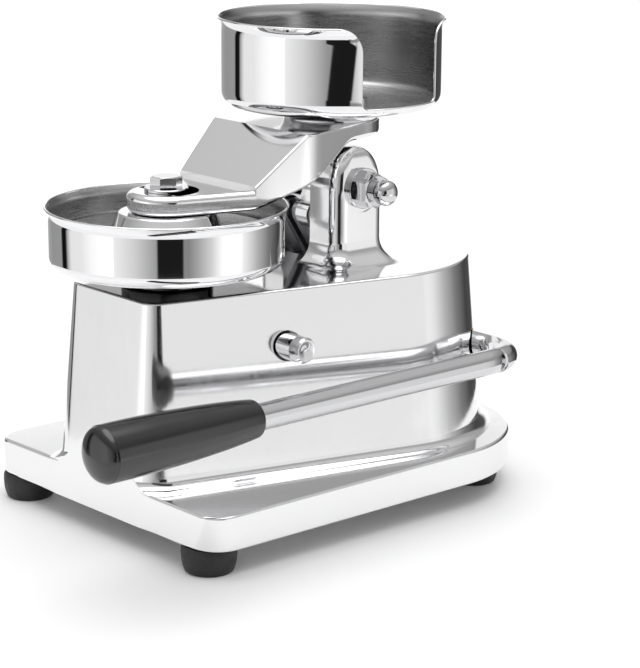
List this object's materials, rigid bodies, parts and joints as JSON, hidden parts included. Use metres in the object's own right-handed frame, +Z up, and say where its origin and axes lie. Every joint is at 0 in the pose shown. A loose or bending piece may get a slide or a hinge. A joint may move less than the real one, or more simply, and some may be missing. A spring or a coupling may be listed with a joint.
{
  "type": "patty press",
  "caption": "Hand lever patty press with a hollow cast base, a round forming bowl with a lifting plate, a hinged press arm and a bowl for paper discs.",
  "frame": {"origin": "centre of the outer box on the table, under the feet", "axes": "+Z up; -X towards the user, the grip end; -Y the side the lever is on"},
  "size_m": [0.352, 0.2234, 0.282],
  "materials": {
    "cast_aluminium": "polished",
    "polished_steel": "mirror polished stainless sheet",
    "plated_steel": "bright plated",
    "machined_steel": "machined",
    "bush_bronze": "turned bronze",
    "foot_rubber": "matt black",
    "grip_plastic": "glossy black"
  },
  "bodies": {
    "base": {"base_casting": "cast_aluminium", "rubber_feet": "foot_rubber", "foot_screws": "plated_steel", "lower_bowl": "polished_steel", "bowl_neck": "cast_aluminium", "bowl_screws": "plated_steel", "guide_bush": "bush_bronze", "axle": "plated_steel", "axle_washers": "plated_steel", "acorn_nuts": "plated_steel", "side_pin": "plated_steel", "shaft_bushes": "bush_bronze"},
    "press_arm": {"arm_casting": "cast_aluminium", "presser_plate": "polished_steel", "presser_hub": "cast_aluminium", "presser_bolt": "plated_steel", "presser_washer": "plated_steel", "holder_neck": "cast_aluminium", "paper_holder": "polished_steel", "holder_screws": "plated_steel"},
    "lever": {"lever_rod": "plated_steel", "lever_grip": "grip_plastic", "shaft_collars": "machined_steel", "lift_crank": "machined_steel", "ejector_crank": "machined_steel", "grub_screws": "machined_steel"},
    "arm_link": {"arm_links": "machined_steel", "link_pins": "plated_steel", "link_clips": "machined_steel"},
    "rocker": {"rocker": "machined_steel", "roller": "machined_steel", "roller_pin": "plated_steel"},
    "drag_link": {"drag_link": "machined_steel", "drag_pins": "plated_steel"},
    "ejector": {"ejector_plate": "polished_steel", "ejector_rod": "plated_steel", "ejector_screw": "plated_steel"}
  },
  "joints": [
    {"name": "arm_hinge", "type": "hinge", "parent": "base", "child": "press_arm", "pos_m": [0.071, 0.00775, 0.185], "axis": [0, 1, 0], "range_deg": [0, 52]},
    {"name": "lever_hinge", "type": "hinge", "parent": "base", "child": "lever", "pos_m": [0.135, 0.00775, 0.087], "axis": [0, 1, 0], "range_deg": [0, 52]},
    {"name": "arm_link_pivot", "type": "hinge", "parent": "lever", "child": "arm_link", "pos_m": [0.12646, 0.00775, 0.06782], "axis": [0, 1, 0], "range_deg": [-52, 0]},
    {"name": "drag_link_pivot", "type": "hinge", "parent": "lever", "child": "drag_link", "pos_m": [0.14166, 0.02975, 0.06603], "axis": [0, 1, 0], "range_deg": [-52, 0]},
    {"name": "rocker_hinge", "type": "hinge", "parent": "base", "child": "rocker", "pos_m": [-0.0075, 0.00775, 0.108], "axis": [0, 1, 0], "range_deg": [0, 52]},
    {"name": "ejector_slide", "type": "slide", "parent": "base", "child": "ejector", "axis": [0, 0, 1], "range_m": [0, 0.03507]}
  ],
  "couplings": [
    {"joint": "lever_hinge", "follows": "arm_hinge", "ratio": 1},
    {"joint": "arm_link_pivot", "follows": "arm_hinge", "ratio": -1},
    {"joint": "drag_link_pivot", "follows": "arm_hinge", "ratio": -1},
    {"joint": "rocker_hinge", "follows": "arm_hinge", "ratio": 1},
    {"joint": "ejector_slide", "follows": "arm_hinge", "m_per_rad": 0.038639}
  ]
}
